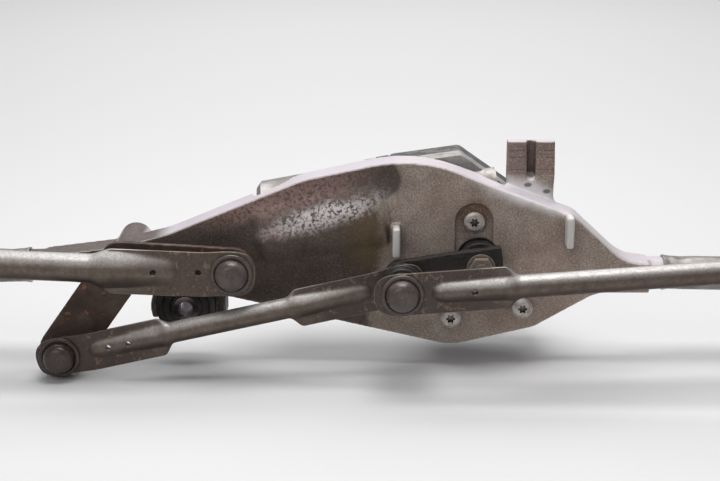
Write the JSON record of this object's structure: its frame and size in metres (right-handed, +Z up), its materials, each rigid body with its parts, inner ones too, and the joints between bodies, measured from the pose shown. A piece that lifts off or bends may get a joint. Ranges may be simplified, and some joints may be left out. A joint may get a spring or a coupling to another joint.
{
  "type": "wiper linkage",
  "caption": "Windscreen wiper linkage: cast carrier with gear motor, tubular frame, crank, bellcrank and pressed rods that swing two opposed wiper spindles.",
  "frame": {"origin": "axis of the centre mount's sleeve at the plane of the carrier's front face", "axes": "+X along the linkage to the right as seen from the rods' side, +Y from the rods' side towards the wiper arms, +Z up"},
  "size_m": [1.0912, 0.1573, 0.1328],
  "materials": {
    "cast_aluminium": "rough cast, dirty",
    "galvanised_tube": "galvanised",
    "bronze": "sintered",
    "rubber": "matte",
    "bright_steel": "bright zinc",
    "can_steel": "drawn and galvanised",
    "ferrite": "sintered",
    "gearbox_aluminium": "die cast",
    "board_laminate": "laminate",
    "carbon": "pressed carbon",
    "copper": "bare copper",
    "core_steel": "stacked sheet",
    "wheel_plastic": "moulded",
    "black_steel": "black coated, rough",
    "nut_zinc": "dull zinc",
    "dark_steel": "oiled",
    "rod_zinc": "dull zinc with dirt",
    "socket_plastic": "moulded, worn",
    "rusty_steel": "brown and rusty"
  },
  "bodies": {
    "frame": {"motor_carrier": "cast_aluminium", "left_frame_tube": "galvanised_tube", "right_frame_tube": "galvanised_tube", "left_spindle_housing": "cast_aluminium", "right_spindle_housing": "cast_aluminium", "left_spindle_bushes": "bronze", "right_spindle_bushes": "bronze", "bellcrank_bushes": "bronze", "centre_grommet": "rubber", "centre_sleeve": "bright_steel", "left_grommet": "rubber", "left_sleeve": "bright_steel", "right_grommet": "rubber", "right_sleeve": "bright_steel", "motor_can": "can_steel", "motor_magnets": "ferrite", "gearbox_housing": "gearbox_aluminium", "gearbox_cover": "gearbox_aluminium", "cover_screws": "bright_steel", "carrier_screws": "bright_steel", "can_screws": "bright_steel", "circuit_board": "board_laminate", "connector_pins": "copper", "brush_plate": "board_laminate", "carbon_brushes": "carbon", "output_bush": "bronze", "output_seal": "rubber", "armature_bearings": "bronze"},
    "crank": {"crank_arm": "black_steel", "crank_nut": "nut_zinc", "crank_ball_stud": "dark_steel", "output_shaft": "bright_steel", "worm_wheel": "wheel_plastic", "output_circlip": "dark_steel"},
    "armature": {"armature_shaft": "bright_steel", "armature_core": "core_steel", "armature_winding": "copper", "commutator": "copper"},
    "left_drive": {"left_drive_rod": "rod_zinc", "left_drive_sockets": "socket_plastic", "lower_ball_stud": "dark_steel"},
    "bellcrank": {"bellcrank_plate": "rusty_steel", "bellcrank_spindle": "bright_steel", "upper_ball_stud": "dark_steel", "bellcrank_washers": "dark_steel", "bellcrank_circlip": "dark_steel"},
    "left_link": {"left_link_rod": "rod_zinc", "left_link_sockets": "socket_plastic", "left_lever_stud": "dark_steel"},
    "left_wiper": {"left_spindle": "bright_steel", "left_lever": "rusty_steel", "left_washers": "dark_steel", "left_circlip": "dark_steel"},
    "right_drive": {"right_drive_rod": "rod_zinc", "right_drive_sockets": "socket_plastic", "right_lever_stud": "dark_steel"},
    "right_wiper": {"right_spindle": "bright_steel", "right_lever": "rusty_steel", "right_washers": "dark_steel", "right_circlip": "dark_steel"}
  },
  "joints": [
    {"name": "crank_turn", "type": "hinge", "parent": "frame", "child": "crank", "pos_m": [0.173, 0, 0.0285], "axis": [0, -1, 0], "range_deg": [0, 160]},
    {"name": "bellcrank_turn", "type": "hinge", "parent": "frame", "child": "bellcrank", "pos_m": [-0.033, 0, 0.032], "axis": [0, -1, 0], "range_deg": [0, 85.55]},
    {"name": "left_wiper_turn", "type": "hinge", "parent": "frame", "child": "left_wiper", "pos_m": [-0.376, 0, 0.016], "axis": [0, -1, 0], "range_deg": [0, 80.39]},
    {"name": "right_wiper_turn", "type": "hinge", "parent": "frame", "child": "right_wiper", "pos_m": [0.611, 0, 0.0115], "axis": [0, -1, 0], "range_deg": [-92.85, 0]},
    {"name": "left_drive_swing", "type": "hinge", "parent": "crank", "child": "left_drive", "pos_m": [0.12681, 0, 0.02234], "axis": [0, -1, 0], "range_deg": [-164.36, 0]},
    {"name": "left_link_swing", "type": "hinge", "parent": "bellcrank", "child": "left_link", "pos_m": [0.02949, 0, 0.02829], "axis": [0, -1, 0], "range_deg": [-76.09, 0]},
    {"name": "right_drive_swing", "type": "hinge", "parent": "crank", "child": "right_drive", "pos_m": [0.12681, 0, 0.02234], "axis": [0, -1, 0], "range_deg": [-159.27, 0]},
    {"name": "armature_spin", "type": "hinge", "parent": "frame", "child": "armature", "pos_m": [0.16587, 0.024, 0.06623], "axis": [0.9826, 0, 0.1857], "range_deg": [0, 10560]}
  ],
  "couplings": [
    {"joint": "bellcrank_turn", "follows": "crank_turn", "ratio": 0.53471},
    {"joint": "left_wiper_turn", "follows": "crank_turn", "ratio": 0.50244},
    {"joint": "right_wiper_turn", "follows": "crank_turn", "ratio": -0.58029},
    {"joint": "left_drive_swing", "follows": "crank_turn", "ratio": -1.0273},
    {"joint": "left_link_swing", "follows": "crank_turn", "ratio": -0.47559},
    {"joint": "right_drive_swing", "follows": "crank_turn", "ratio": -0.99545},
    {"joint": "armature_spin", "follows": "crank_turn", "ratio": 66}
  ]
}
